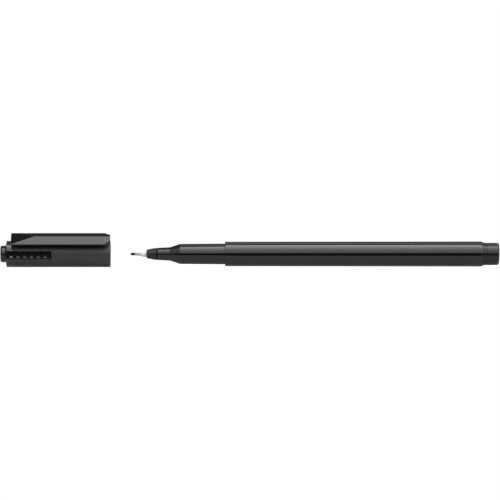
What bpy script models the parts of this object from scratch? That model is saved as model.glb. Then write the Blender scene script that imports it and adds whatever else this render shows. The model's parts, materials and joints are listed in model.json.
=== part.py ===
"""A slim permanent marker lying on its side, with its cap pulled off in line with it.

The pen is modelled upright on its end plug, with the nib on top, and the cap upright on
its mouth, with the pocket clip towards +X. One empty lays both down along world X, and
the cap's own empty holds it clear of the nib and rolls it about the shared axis.
All sizes are in metres. Turned outlines are lists of (radius, height) or
(radius, height, fillet) corners that run down the outer side.
"""
import math

import bmesh
import bpy
from mathutils import Matrix, Vector

# Facets of the round pieces, and steps of the fillets in their outlines and of bevelled edges.
FACETS = 24
FILLET_STEPS = 3
BEVEL_STEPS = 2
BEVEL_FROM_ANGLE = math.radians(40)

# Gaps between pieces.
PRESS_GAP = 0.0001
SEAT_GAP = 0.0001
CAP_SIDE_CLEARANCE = 0.0002
SEAL_CLEARANCE = 0.0001
RESERVOIR_SIDE_CLEARANCE = 0.00015
CAP_OFF_GAP = 0.00724

# Nib and nib holder.
NIB_RADIUS = 0.00109
NIB_TIP_RADIUS = 0.00047
NIB_TIP_FILLET = 0.00035
NIB_EXPOSED = 0.0058
NIB_SWELL_RADIUS = 0.001
NIB_SWELL_LENGTH = 0.00115
NIB_SWELL_FILLET = 0.001
NIB_WAIST_RADIUS = 0.0006
NIB_WAIST_LENGTH = 0.0025
NIB_WAIST_FILLET = 0.0016
NIB_IN_RESERVOIR = 0.005
HOLDER_WALL = 0.0004
HOLDER_EXPOSED = 0.00385
HOLDER_LAND = 0.0006
HOLDER_FRONT_FILLET = 0.00028
HOLDER_SETBACK = 0.00006
HOLDER_STEM_SETBACK = 0.00098

# Barrel, from the neck down to the rear edge.
NECK_WALL = 0.00054
NECK_LENGTH = 0.0045
NECK_DRAFT = 0.00021
CONE_LENGTH = 0.0036
CONE_RISE = 0.00121
FRONT_LENGTH = 0.0163
FRONT_DRAFT = 0.00012
FRONT_WALL = 0.00085
SHOULDER_STEP = 0.00067
SHOULDER_FILLET = 0.0002
TUBE_LENGTH = 0.09248
TUBE_DRAFT = 0.0001
TUBE_WALL = 0.00085
REAR_CHAMFER_LENGTH = 0.00094
REAR_CHAMFER_DEPTH = 0.00037
GUIDE_RIBS = 6
GUIDE_RIB_WIDTH = 0.0007
GUIDE_RIB_SETBACK = 0.001
GUIDE_RIB_BITE = 0.0003

# Ink reservoir.
FILM_THICKNESS = 0.00012

# End plug.
PLUG_HEAD_LENGTH = 0.00466
PLUG_HEAD_STEP = 0.00006
PLUG_HEAD_DRAFT = 0.00004
PLUG_EDGE_FILLET = 0.0009
PLUG_GROOVE_WIDTH = 0.00024
PLUG_GROOVE_DEPTH = 0.0002
PLUG_COLLAR_LENGTH = 0.00083
PLUG_COLLAR_SETBACK = 0.00006
PLUG_STEM_LENGTH = 0.006
PLUG_WALL = 0.0014
PLUG_FLOOR = 0.0015

# Cap shell and inner cap.
CLIP_ROLL = math.radians(36)
CAP_WALL = 0.00075
CAP_EDGE_FILLET = 0.00025
NIB_ROOM = 0.00325
END_RISE = 0.0005
STUB_LENGTH = 0.0021
STUB_WALL = 0.00046
STUB_FILLET = 0.00065
STUB_DOME = 0.00012
STUB_FLOOR = 0.0014
INNER_MOUTH_ABOVE_CONE = 0.0006
LEDGE_THICKNESS = 0.0008
LEDGE_DEPTH = 0.0006
WINDOW_SILL = 0.00075
WINDOW_FROM = math.radians(42)
WINDOW_TO = math.radians(78)
GRIP_RIBS = 6
GRIP_RIB_WIDTH = 0.0012
GRIP_RIB_HEIGHT = 0.0002
GRIP_RIB_FROM = math.radians(65)
GRIP_RIB_CREST = math.radians(77)
GRIP_RIB_FALL = math.radians(107)
GRIP_RIB_TO = math.radians(118)
GRIP_RIB_FROM_END = 0.00398
GRIP_RIB_FROM_SILL = 0.002495

# Pocket clip.
CLIP_GAP = 0.00153
CLIP_SIDE_THICKNESS = 0.00045
CLIP_RIDGE_RISE = 0.00109
CLIP_HALF_WIDTH = 0.00352
CLIP_SETBACK = 0.0015
CLIP_TIP_SETBACK = 0.00005
CLIP_TIP_CUT = 0.0018
CLIP_HIP_LENGTH = 0.0085
CLIP_HIP_DROP = 0.00091
CLIP_EDGE_BEVEL = 0.00015
CLIP_JOIN_BITE = 0.0002
POST_SETBACK = 0.0003
POST_LENGTH = 0.0052
POST_HALF_WIDTH = 0.0011
BEAD_RADIUS = 0.0009
BEAD_LENGTH = 0.0032
BEAD_FROM_TIP = 0.00365

# Radii that follow from the fits, from the nib outwards.
HOLDER_BORE = NIB_RADIUS + PRESS_GAP
HOLDER_STEM = HOLDER_BORE + HOLDER_WALL
NECK_BORE = HOLDER_STEM + PRESS_GAP
NECK_TOP = NECK_BORE + NECK_WALL
NECK_BASE = NECK_TOP + NECK_DRAFT
FRONT_TOP = NECK_BASE + CONE_RISE
FRONT_BASE = FRONT_TOP + FRONT_DRAFT
FRONT_BORE = FRONT_TOP - FRONT_WALL
TUBE_FRONT = FRONT_BASE + SHOULDER_STEP
TUBE_REAR = TUBE_FRONT + TUBE_DRAFT
TUBE_BORE = TUBE_FRONT - TUBE_WALL
REAR_EDGE = TUBE_REAR - REAR_CHAMFER_DEPTH
FILM_OUTSIDE = FRONT_BORE - RESERVOIR_SIDE_CLEARANCE
FILM_INSIDE = FILM_OUTSIDE - FILM_THICKNESS
CORE_RADIUS = FILM_INSIDE - PRESS_GAP
PLUG_STEM = TUBE_BORE - PRESS_GAP
PLUG_COLLAR = REAR_EDGE - PLUG_COLLAR_SETBACK
PLUG_HEAD = PLUG_COLLAR - PLUG_HEAD_STEP
CAP_BORE = FRONT_BASE + CAP_SIDE_CLEARANCE
CAP_RADIUS = CAP_BORE + CAP_WALL
INNER_RADIUS = CAP_BORE - PRESS_GAP
INNER_BORE = NECK_BASE + SEAL_CLEARANCE
STUB_RADIUS = INNER_BORE + STUB_WALL
CLIP_UNDERSIDE = CAP_RADIUS + CLIP_GAP
CLIP_SHOULDER = CLIP_UNDERSIDE + CLIP_SIDE_THICKNESS
CLIP_RIDGE = CLIP_SHOULDER + CLIP_RIDGE_RISE

# Heights on the upright pen, from the end plug's flat end.
COLLAR_FOOT = PLUG_HEAD_LENGTH + PLUG_GROOVE_WIDTH
COLLAR_TOP = COLLAR_FOOT + PLUG_COLLAR_LENGTH
BARREL_FOOT = COLLAR_TOP + SEAT_GAP
CHAMFER_TOP = BARREL_FOOT + REAR_CHAMFER_LENGTH
SHOULDER = CHAMFER_TOP + TUBE_LENGTH
CONE_FOOT = SHOULDER + FRONT_LENGTH
NECK_FOOT = CONE_FOOT + CONE_LENGTH
NECK_END = NECK_FOOT + NECK_LENGTH
HOLDER_FOOT = NECK_END + SEAT_GAP
HOLDER_END = HOLDER_FOOT + HOLDER_EXPOSED
NIB_END = HOLDER_END + NIB_EXPOSED
PLUG_STEM_TOP = COLLAR_TOP + PLUG_STEM_LENGTH
RESERVOIR_FOOT = PLUG_STEM_TOP + SEAT_GAP
FUNNEL_FOOT = CONE_FOOT - FRONT_WALL
FUNNEL_TOP = FUNNEL_FOOT + FRONT_BORE - NECK_BORE
STEM_FOOT = FUNNEL_TOP + HOLDER_STEM_SETBACK
RESERVOIR_TOP = FUNNEL_FOOT - SEAT_GAP
NIB_FOOT = RESERVOIR_TOP - NIB_IN_RESERVOIR
STEP_FLOOR = SHOULDER - TUBE_WALL

# Heights in the upright cap, from its mouth.
SHELL_LENGTH = NIB_END - SHOULDER + NIB_ROOM
STUB_FOOT = SHELL_LENGTH + END_RISE
CAP_END = STUB_FOOT + STUB_LENGTH
INNER_MOUTH = FRONT_LENGTH + CONE_LENGTH + INNER_MOUTH_ABOVE_CONE
LEDGE_TOP = INNER_MOUTH - SEAT_GAP
LEDGE_FOOT = LEDGE_TOP - LEDGE_THICKNESS
WINDOW_FOOT = INNER_MOUTH + WINDOW_SILL
GRIP_RIB_TOP = CAP_END - GRIP_RIB_FROM_END
GRIP_RIB_PITCH = (GRIP_RIB_TOP - WINDOW_FOOT - GRIP_RIB_FROM_SILL) / (GRIP_RIBS - 1)
CLIP_REAR = SHELL_LENGTH - CLIP_SETBACK
POST_REAR = CLIP_REAR - POST_SETBACK
CAP_MOUTH = NIB_END + CAP_OFF_GAP

# A facet faces straight down in both halves, whatever the cap's roll.
HALF_FACET = math.pi / FACETS
PEN_PHASE = HALF_FACET
CAP_PHASE = HALF_FACET + CLIP_ROLL
MERGE_DISTANCE = 1e-7


def new_collection(name):
    """Add a collection to the scene."""
    collection = bpy.data.collections.new(name)
    bpy.context.scene.collection.children.link(collection)
    return collection


def finish(name, colour, roughness):
    """Make a plain non-metal material."""
    material = bpy.data.materials.new(name)
    material.use_nodes = True
    shader = material.node_tree.nodes["Principled BSDF"]
    shader.inputs["Base Color"].default_value = (*colour, 1)
    shader.inputs["Roughness"].default_value = roughness
    shader.inputs["Metallic"].default_value = 0
    return material


def new_empty(name, collection, parent=None):
    """Add an empty that carries a group of pieces."""
    empty = bpy.data.objects.new(name, None)
    empty.parent = parent
    collection.objects.link(empty)
    return empty


def add_object(name, mesh, collection, parent):
    """Put a mesh into the scene under its parent."""
    piece = bpy.data.objects.new(name, mesh)
    piece.parent = parent
    collection.objects.link(piece)
    return piece


def add_part(name, mesh, group, parent, material):
    """Put a visible sub-part into the scene with its own material."""
    mesh.materials.append(material)
    return add_object(name, mesh, group, parent)


def add_cutter(name, mesh, cutters, parent):
    """Put a tool body into the scene, out of the render."""
    cutter = add_object(name, mesh, cutters, parent)
    cutter.hide_render = True
    cutter.display_type = "WIRE"
    return cutter


def with_fillets(corners):
    """Return an outline's points, with a short arc at each corner that has a fillet."""
    points = []
    befores = corners[-1:] + corners[:-1]
    afters = corners[1:] + corners[:1]
    for before, corner, after in zip(befores, corners, afters):
        here = Vector(corner[:2])
        if len(corner) == 2:
            points.append(here)
            continue
        radius = corner[2]
        to_before = (Vector(before[:2]) - here).normalized()
        to_after = (Vector(after[:2]) - here).normalized()
        half_angle = to_before.angle(to_after) / 2
        centre = here + (to_before + to_after).normalized() * radius / math.sin(half_angle)
        first = here + to_before * radius / math.tan(half_angle) - centre
        sweep = first.angle_signed(here + to_after * radius / math.tan(half_angle) - centre)
        start = math.atan2(first.y, first.x)
        for step in range(FILLET_STEPS + 1):
            angle = start - sweep * step / FILLET_STEPS
            points.append(centre + Vector((math.cos(angle), math.sin(angle))) * radius)
    return points


def outline_mesh(name, corners, phase):
    """Draw an outline in the half plane at the phase angle; one off the axis is closed."""
    points = with_fillets(corners)
    vertices = [(p.x * math.cos(phase), p.x * math.sin(phase), p.y) for p in points]
    edges = [(index, index + 1) for index in range(len(points) - 1)]
    if points[0].x > 0:
        edges.append((len(points) - 1, 0))
    mesh = bpy.data.meshes.new(name)
    mesh.from_pydata(vertices, edges, [])
    return mesh


def turn(piece):
    """Turn a piece's outline about its own Z axis."""
    screw = piece.modifiers.new("turn", "SCREW")
    screw.steps = FACETS
    screw.render_steps = FACETS
    screw.use_merge_vertices = True
    screw.merge_threshold = MERGE_DISTANCE
    screw.use_smooth_shade = True


def boolean(piece, operation, tool):
    """Join a tool body to a piece, or cut it away."""
    modifier = piece.modifiers.new(tool.name, "BOOLEAN")
    modifier.operation = operation
    modifier.solver = "EXACT"
    modifier.object = tool


def mirror_across_clip(piece):
    """Repeat a body on the other side of the clip's middle plane."""
    mirror = piece.modifiers.new("other side", "MIRROR")
    mirror.use_axis = (False, True, False)
    mirror.use_mirror_merge = False
    mirror.merge_threshold = MERGE_DISTANCE


def add_block(body, low, high):
    """Add a box between two corners to a bmesh."""
    cube = bmesh.ops.create_cube(body, size=1)["verts"]
    size = Vector(high) - Vector(low)
    bmesh.ops.scale(body, vec=size, verts=cube)
    bmesh.ops.translate(body, vec=Vector(low) + size / 2, verts=cube)
    return cube


def plane_off(body, point, normal):
    """Cut off what lies beyond a plane and close the cut with a flat face."""
    everything = body.verts[:] + body.edges[:] + body.faces[:]
    cut = bmesh.ops.bisect_plane(
        body, geom=everything, dist=MERGE_DISTANCE, plane_co=point, plane_no=normal, clear_outer=True
    )
    rim = [item for item in cut["geom_cut"] if isinstance(item, bmesh.types.BMEdge)]
    bmesh.ops.edgeloop_fill(body, edges=rim)


def to_mesh(body, name):
    """Turn a bmesh's faces outwards and write it to a new mesh."""
    bmesh.ops.recalc_face_normals(body, faces=body.faces[:])
    mesh = bpy.data.meshes.new(name)
    body.to_mesh(mesh)
    body.free()
    return mesh


def bar_mesh(name, section, foot, top):
    """Make an upright bar whose section has (radius, angle) corners about the cap's axis."""
    body = bmesh.new()
    for height in (foot, top):
        points = [(r * math.cos(angle), r * math.sin(angle), height) for r, angle in section]
        body.faces.new([body.verts.new(point) for point in points])
    bmesh.ops.bridge_loops(body, edges=body.edges[:])
    return to_mesh(body, name)


def arc(radius, first, last):
    """Return (radius, angle) corners along an arc, about a facet apart."""
    steps = max(1, round(abs(last - first) / (2 * HALF_FACET)))
    return [(radius, first + (last - first) * step / steps) for step in range(steps + 1)]


def end_height(radius):
    """Height of the cap's sloping end face at a radius."""
    return SHELL_LENGTH + END_RISE * (CAP_RADIUS - radius) / (CAP_RADIUS - STUB_RADIUS)


def make_nib(group, pen):
    """Blunt fibre rod with a soft waist, which runs back through its holder into the reservoir."""
    corners = [
        (0, NIB_END),
        (NIB_TIP_RADIUS, NIB_END, min(NIB_TIP_FILLET, NIB_TIP_RADIUS * 3 / 4)),
        (NIB_WAIST_RADIUS, HOLDER_END + NIB_WAIST_LENGTH, NIB_WAIST_FILLET),
        (NIB_SWELL_RADIUS, HOLDER_END + NIB_SWELL_LENGTH, NIB_SWELL_FILLET),
        (NIB_RADIUS, HOLDER_END),
        (NIB_RADIUS, NIB_FOOT),
        (0, NIB_FOOT),
    ]
    mesh = outline_mesh("nib", corners, PEN_PHASE)
    nib = add_part("nib", mesh, group, pen, finish("nib_fibre", (0.55, 0.54, 0.52), 0.9))
    turn(nib)


def make_nib_holder(group, pen):
    """Bullet-shaped tip piece with a stem pressed into the neck."""
    foot_radius = NECK_TOP - HOLDER_SETBACK
    corners = [
        (HOLDER_STEM, HOLDER_END, min(HOLDER_FRONT_FILLET, HOLDER_WALL * 3 / 4)),
        (foot_radius, HOLDER_FOOT + HOLDER_LAND),
        (foot_radius, HOLDER_FOOT),
        (HOLDER_STEM, HOLDER_FOOT),
        (HOLDER_STEM, STEM_FOOT),
        (HOLDER_BORE, STEM_FOOT),
        (HOLDER_BORE, HOLDER_END),
    ]
    mesh = outline_mesh("nib_holder", corners, PEN_PHASE)
    satin = finish("holder_satin_black", (0.035, 0.035, 0.036), 0.45)
    turn(add_part("nib_holder", mesh, group, pen, satin))


def make_guide_ribs(cutters, pen):
    """Ribs along the tube's bore that keep the slim reservoir on the axis."""
    body = bmesh.new()
    foot = PLUG_STEM_TOP + GUIDE_RIB_SETBACK
    top = STEP_FLOOR + GUIDE_RIB_BITE
    half = GUIDE_RIB_WIDTH / 2
    for index in range(GUIDE_RIBS):
        low = (FILM_OUTSIDE + 2 * RESERVOIR_SIDE_CLEARANCE, -half, foot)
        rib = add_block(body, low, (TUBE_BORE + GUIDE_RIB_BITE, half, top))
        spoke = Matrix.Rotation(index * 2 * math.pi / GUIDE_RIBS, 3, "Z")
        bmesh.ops.rotate(body, cent=(0, 0, 0), matrix=spoke, verts=rib)
    return add_cutter("guide_ribs", to_mesh(body, "guide_ribs"), cutters, pen)


def make_barrel(group, cutters, pen):
    """One moulding: neck, cone, front section, shoulder and tube, hollow from end to end."""
    corners = [
        (NECK_TOP, NECK_END),
        (NECK_BASE, NECK_FOOT),
        (FRONT_TOP, CONE_FOOT),
        (FRONT_BASE, SHOULDER),
        (TUBE_FRONT, SHOULDER, SHOULDER_FILLET),
        (TUBE_REAR, CHAMFER_TOP),
        (REAR_EDGE, BARREL_FOOT),
        (TUBE_BORE, BARREL_FOOT),
        (TUBE_BORE, STEP_FLOOR),
        (FRONT_BORE, STEP_FLOOR),
        (FRONT_BORE, FUNNEL_FOOT),
        (NECK_BORE, FUNNEL_TOP),
        (NECK_BORE, NECK_END),
    ]
    mesh = outline_mesh("barrel", corners, PEN_PHASE)
    gloss = finish("barrel_gloss_black", (0.012, 0.011, 0.011), 0.15)
    barrel = add_part("barrel", mesh, group, pen, gloss)
    turn(barrel)
    boolean(barrel, "UNION", make_guide_ribs(cutters, pen))


def make_reservoir(group, pen):
    """Ink-filled fibre rod with a socket for the nib, in its film sleeve."""
    socket = NIB_RADIUS + PRESS_GAP
    socket_floor = NIB_FOOT - SEAT_GAP
    core = [
        (0, socket_floor),
        (socket, socket_floor),
        (socket, RESERVOIR_TOP),
        (CORE_RADIUS, RESERVOIR_TOP),
        (CORE_RADIUS, RESERVOIR_FOOT),
        (0, RESERVOIR_FOOT),
    ]
    mesh = outline_mesh("reservoir_core", core, PEN_PHASE)
    inked = finish("reservoir_inked_fibre", (0.02, 0.02, 0.025), 0.9)
    turn(add_part("reservoir_core", mesh, group, pen, inked))
    film = [
        (FILM_OUTSIDE, RESERVOIR_TOP),
        (FILM_OUTSIDE, RESERVOIR_FOOT),
        (FILM_INSIDE, RESERVOIR_FOOT),
        (FILM_INSIDE, RESERVOIR_TOP),
    ]
    mesh = outline_mesh("reservoir_film", film, PEN_PHASE)
    clear = finish("reservoir_film", (0.75, 0.76, 0.78), 0.2)
    turn(add_part("reservoir_film", mesh, group, pen, clear))


def make_end_plug(group, pen):
    """Cup-shaped plug: stem pressed into the tube, collar, groove and flat-ended head."""
    groove = PLUG_HEAD - PLUG_GROOVE_DEPTH
    hollow = PLUG_STEM - PLUG_WALL
    corners = [
        (0, PLUG_HEAD_LENGTH + PLUG_FLOOR),
        (hollow, PLUG_HEAD_LENGTH + PLUG_FLOOR),
        (hollow, PLUG_STEM_TOP),
        (PLUG_STEM, PLUG_STEM_TOP),
        (PLUG_STEM, COLLAR_TOP),
        (PLUG_COLLAR, COLLAR_TOP),
        (PLUG_HEAD, COLLAR_FOOT),
        (groove, COLLAR_FOOT),
        (groove, PLUG_HEAD_LENGTH),
        (PLUG_HEAD, PLUG_HEAD_LENGTH),
        (PLUG_HEAD - PLUG_HEAD_DRAFT, 0, PLUG_EDGE_FILLET),
        (0, 0),
    ]
    mesh = outline_mesh("end_plug", corners, PEN_PHASE)
    satin = finish("plug_semigloss_black", (0.018, 0.017, 0.017), 0.3)
    turn(add_part("end_plug", mesh, group, pen, satin))


def make_windows(cutters, cap):
    """Slots in both sides of the shell, open to the closed end."""
    outside = arc(CAP_RADIUS + CLIP_GAP, WINDOW_FROM, WINDOW_TO)
    inside = arc(CAP_BORE - PRESS_GAP, WINDOW_TO, WINDOW_FROM)
    mesh = bar_mesh("windows", outside + inside, WINDOW_FOOT, CAP_END)
    windows = add_cutter("windows", mesh, cutters, cap)
    mirror_across_clip(windows)
    return windows


def make_grip_ribs(cutters, cap):
    """Rows of ribs on the shell, each with a sloping end that reaches into the window beside it."""
    rise = [(CAP_BORE, GRIP_RIB_FROM)]
    crest = arc(CAP_RADIUS + GRIP_RIB_HEIGHT, GRIP_RIB_CREST, GRIP_RIB_FALL)
    fall = [(CAP_RADIUS - CAP_WALL / 4, GRIP_RIB_TO)]
    inside = arc(CAP_RADIUS - CAP_WALL / 2, GRIP_RIB_FALL, (GRIP_RIB_CREST + GRIP_RIB_FALL) / 2)
    foot = GRIP_RIB_TOP - GRIP_RIB_WIDTH / 2
    mesh = bar_mesh("grip_ribs", rise + crest + fall + inside, foot, foot + GRIP_RIB_WIDTH)
    ribs = add_cutter("grip_ribs", mesh, cutters, cap)
    row = ribs.modifiers.new("row", "ARRAY")
    row.count = GRIP_RIBS
    row.use_relative_offset = False
    row.use_constant_offset = True
    row.constant_offset_displace = (0, 0, -GRIP_RIB_PITCH)
    row.merge_threshold = MERGE_DISTANCE
    mirror_across_clip(ribs)
    return ribs


def make_cap_shell(group, cutters, cap):
    """Sleeve with a ledge for the inner cap, and a window and a row of grip ribs in each side."""
    ledge = CAP_BORE - LEDGE_DEPTH
    rim = min(CAP_EDGE_FILLET, CAP_WALL / 3)
    corners = [
        (CAP_RADIUS, end_height(CAP_RADIUS)),
        (CAP_RADIUS, 0, rim),
        (CAP_BORE, 0, rim),
        (CAP_BORE, LEDGE_FOOT),
        (ledge, LEDGE_FOOT),
        (ledge, LEDGE_TOP),
        (CAP_BORE, LEDGE_TOP),
        (CAP_BORE, end_height(CAP_BORE)),
    ]
    mesh = outline_mesh("cap_shell", corners, CAP_PHASE)
    satin = finish("cap_satin_black", (0.03, 0.03, 0.031), 0.5)
    shell = add_part("cap_shell", mesh, group, cap, satin)
    turn(shell)
    boolean(shell, "DIFFERENCE", make_windows(cutters, cap))
    boolean(shell, "UNION", make_grip_ribs(cutters, cap))


def make_inner_cap(group, cap):
    """Blind sealing sleeve pressed in from the closed end, which shows in the windows and as a stub."""
    corners = [
        (0, CAP_END),
        (STUB_RADIUS, CAP_END - STUB_DOME, STUB_FILLET),
        (STUB_RADIUS, STUB_FOOT),
        (INNER_RADIUS, end_height(INNER_RADIUS)),
        (INNER_RADIUS, INNER_MOUTH),
        (INNER_BORE, INNER_MOUTH),
        (INNER_BORE, CAP_END - STUB_FLOOR),
        (0, CAP_END - STUB_FLOOR),
    ]
    mesh = outline_mesh("inner_cap", corners, CAP_PHASE)
    semigloss = finish("inner_cap_semigloss_black", (0.02, 0.019, 0.019), 0.3)
    turn(add_part("inner_cap", mesh, group, cap, semigloss))


def make_clip_arm():
    """Bar with a ridged top, a sloping hip at its root and cut corners at its tip."""
    body = bmesh.new()
    low = (CLIP_UNDERSIDE, -CLIP_HALF_WIDTH, CLIP_TIP_SETBACK)
    add_block(body, low, (CLIP_RIDGE + CLIP_RIDGE_RISE, CLIP_HALF_WIDTH, CLIP_REAR))
    hip_apex = (CLIP_RIDGE, 0, CLIP_REAR - CLIP_HIP_LENGTH)
    for side in (-1, 1):
        plane_off(body, hip_apex, (CLIP_HALF_WIDTH, side * CLIP_RIDGE_RISE, 0))
    plane_off(body, hip_apex, (CLIP_HIP_LENGTH, 0, CLIP_HIP_DROP))
    for side in (-1, 1):
        corner = (0, side * CLIP_HALF_WIDTH, CLIP_TIP_SETBACK + CLIP_TIP_CUT)
        plane_off(body, corner, (0, side, -1))
    return to_mesh(body, "pocket_clip")


def make_clip_post(cutters, cap):
    """Narrow web under the clip's root, long enough to be trimmed to the shell."""
    body = bmesh.new()
    low = (0, -POST_HALF_WIDTH, POST_REAR - POST_LENGTH)
    add_block(body, low, (CLIP_UNDERSIDE + CLIP_JOIN_BITE, POST_HALF_WIDTH, POST_REAR))
    return add_cutter("clip_post", to_mesh(body, "clip_post"), cutters, cap)


def make_clip_bead(cutters, cap):
    """Half-round bead across the underside near the tip, which presses on the pocket's cloth."""
    body = bmesh.new()
    crosswise = Matrix.Rotation(math.pi / 2, 4, "X")
    bmesh.ops.create_cone(
        body,
        cap_ends=True,
        segments=FACETS,
        radius1=BEAD_RADIUS,
        radius2=BEAD_RADIUS,
        depth=BEAD_LENGTH,
        matrix=crosswise,
    )
    middle = (CLIP_UNDERSIDE, 0, CLIP_TIP_SETBACK + BEAD_FROM_TIP)
    bmesh.ops.translate(body, vec=middle, verts=body.verts[:])
    plane_off(body, (CLIP_UNDERSIDE + CLIP_JOIN_BITE, 0, 0), (1, 0, 0))
    return add_cutter("clip_bead", to_mesh(body, "clip_bead"), cutters, cap)


def make_pocket_clip(group, cutters, cap):
    """Clip bar on its root post, hinged where the post's rear edge meets the shell."""
    foot_radius = CAP_RADIUS + SEAT_GAP
    hinge = new_empty("clip_hinge", group, cap)
    hinge.location = (foot_radius, 0, POST_REAR)
    satin = finish("clip_satin_black", (0.032, 0.032, 0.033), 0.45)
    clip = add_part("pocket_clip", make_clip_arm(), group, hinge, satin)
    clip.location = -hinge.location
    bevel = clip.modifiers.new("soft edges", "BEVEL")
    bevel.width = CLIP_EDGE_BEVEL
    bevel.segments = BEVEL_STEPS
    bevel.limit_method = "ANGLE"
    bevel.angle_limit = BEVEL_FROM_ANGLE
    boolean(clip, "UNION", make_clip_post(cutters, cap))
    boolean(clip, "UNION", make_clip_bead(cutters, cap))
    saddle = [(0, CAP_END), (foot_radius, CAP_END), (foot_radius, 0), (0, 0)]
    mesh = outline_mesh("clip_saddle", saddle, CAP_PHASE)
    saddle_cutter = add_cutter("clip_saddle", mesh, cutters, cap)
    turn(saddle_cutter)
    boolean(clip, "DIFFERENCE", saddle_cutter)


def lay_down(group):
    """Add the empty that lays the marker along X, resting under the middle of its outline."""
    lowest_facet = CAP_RADIUS * math.cos(HALF_FACET)
    clip_reach = CLIP_SHOULDER * math.sin(CLIP_ROLL) + CLIP_HALF_WIDTH * math.cos(CLIP_ROLL)
    pen = new_empty("pen_axis", group)
    pen.location = ((CAP_MOUTH + CAP_END) / 2, (clip_reach - lowest_facet) / 2, lowest_facet)
    pen.rotation_euler = (0, -math.pi / 2, 0)
    return pen


def main():
    """Build the marker in an empty scene."""
    for old in list(bpy.data.objects):
        bpy.data.objects.remove(old)
    group = new_collection("permanent_marker")
    cutters = new_collection("cutters")
    pen = lay_down(group)
    cap = new_empty("cap_axis", group, pen)
    cap.location = (0, 0, CAP_MOUTH)
    cap.rotation_euler = (0, 0, -CLIP_ROLL)
    make_nib(group, pen)
    make_nib_holder(group, pen)
    make_barrel(group, cutters, pen)
    make_reservoir(group, pen)
    make_end_plug(group, pen)
    make_cap_shell(group, cutters, cap)
    make_inner_cap(group, cap)
    make_pocket_clip(group, cutters, cap)


main()
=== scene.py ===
"""Looks of a slim permanent marker that lies with its cap pulled off, in line with it.

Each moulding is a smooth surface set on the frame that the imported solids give, with its own finish.
All sizes are in metres. Along the pen, distances run from the end plug's flat end to the nib; along
the cap, from its mouth to its closed end. An outline lists (distance, radius, fillet) corners.
"""

import json
import logging
import math
from dataclasses import dataclass, replace
from enum import Enum
from typing import Any, Callable, Dict, List, Optional, Sequence, Tuple, Union

import bmesh
import bpy
import numpy as np
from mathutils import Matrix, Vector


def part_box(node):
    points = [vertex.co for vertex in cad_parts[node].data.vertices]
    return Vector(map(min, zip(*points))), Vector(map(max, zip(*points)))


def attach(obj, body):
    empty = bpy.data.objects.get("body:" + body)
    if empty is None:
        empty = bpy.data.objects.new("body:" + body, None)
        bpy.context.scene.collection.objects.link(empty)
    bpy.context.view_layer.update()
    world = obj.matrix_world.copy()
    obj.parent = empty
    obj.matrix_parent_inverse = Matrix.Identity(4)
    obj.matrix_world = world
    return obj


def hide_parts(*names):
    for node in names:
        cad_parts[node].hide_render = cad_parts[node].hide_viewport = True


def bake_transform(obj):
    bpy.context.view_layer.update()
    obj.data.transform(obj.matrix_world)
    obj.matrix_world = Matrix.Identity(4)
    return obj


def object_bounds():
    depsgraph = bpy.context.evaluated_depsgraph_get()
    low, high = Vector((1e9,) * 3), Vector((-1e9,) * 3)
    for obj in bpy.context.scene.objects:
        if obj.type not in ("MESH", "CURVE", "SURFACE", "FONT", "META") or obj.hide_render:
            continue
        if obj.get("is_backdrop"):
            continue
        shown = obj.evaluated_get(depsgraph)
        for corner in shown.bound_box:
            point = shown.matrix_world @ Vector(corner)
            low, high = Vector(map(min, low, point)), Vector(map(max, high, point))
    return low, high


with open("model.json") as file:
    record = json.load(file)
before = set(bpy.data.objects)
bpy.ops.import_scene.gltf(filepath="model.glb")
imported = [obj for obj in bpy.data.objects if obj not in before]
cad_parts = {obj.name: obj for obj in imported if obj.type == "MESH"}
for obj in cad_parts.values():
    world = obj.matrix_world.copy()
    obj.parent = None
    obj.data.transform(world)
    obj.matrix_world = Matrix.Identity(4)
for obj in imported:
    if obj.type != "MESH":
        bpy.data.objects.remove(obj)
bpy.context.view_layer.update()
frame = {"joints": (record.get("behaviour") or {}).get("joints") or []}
LOG = logging.getLogger("marker")

Array = np.ndarray
Colour = Tuple[float, float, float]
Corner = Tuple[float, float, float]
Span = Tuple[float, float]
Relief = Callable[[Array, Array, Array], Array]
MM = 0.001

# How finely outlines and turned surfaces are drawn, and from which angle an edge shows as sharp.
FILLET_STEPS = 8
ROUND_STEPS = 160
LONGEST_STEP = 3 * MM
GUARD = 0.05 * MM
GUARDED_FROM = 4 * GUARD
SHARP_FROM = math.radians(38)

# Tolerances: lengths that count as nothing, the cosine of a straight line, and the digits that
# tell points apart.
TOUCHING = 1e-8
NEARLY_ONE = 0.999999
MERGE_DIGITS = 9

# Noise runs about its middle, with more or less detail; satin mouldings share a grain.
NOISE_MIDDLE = 0.5
PLAIN_NOISE, SOFT_NOISE, RICH_NOISE = 1.0, 2.0, 3.0
SATIN_GRAIN = 0.0012 * MM


class Body(str, Enum):
    """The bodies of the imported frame."""

    PEN = "pen"
    CAP = "cap"
    CLIP = "clip"


def joined(operation: str, swapped: bool = False) -> Callable[["Level", "Number"], "Level"]:
    """Make an operator of a level and a number.

    Args:
        operation: the Math node's operation.
        swapped: whether the number comes first, as in 1 - level.

    Returns:
        The method that adds the Math node.
    """

    def method(self: "Level", other: "Number") -> "Level":
        """Join the level and the number."""
        values = (other, self) if swapped else (self, other)
        return self.graph.maths(operation, *values)

    return method


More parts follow.
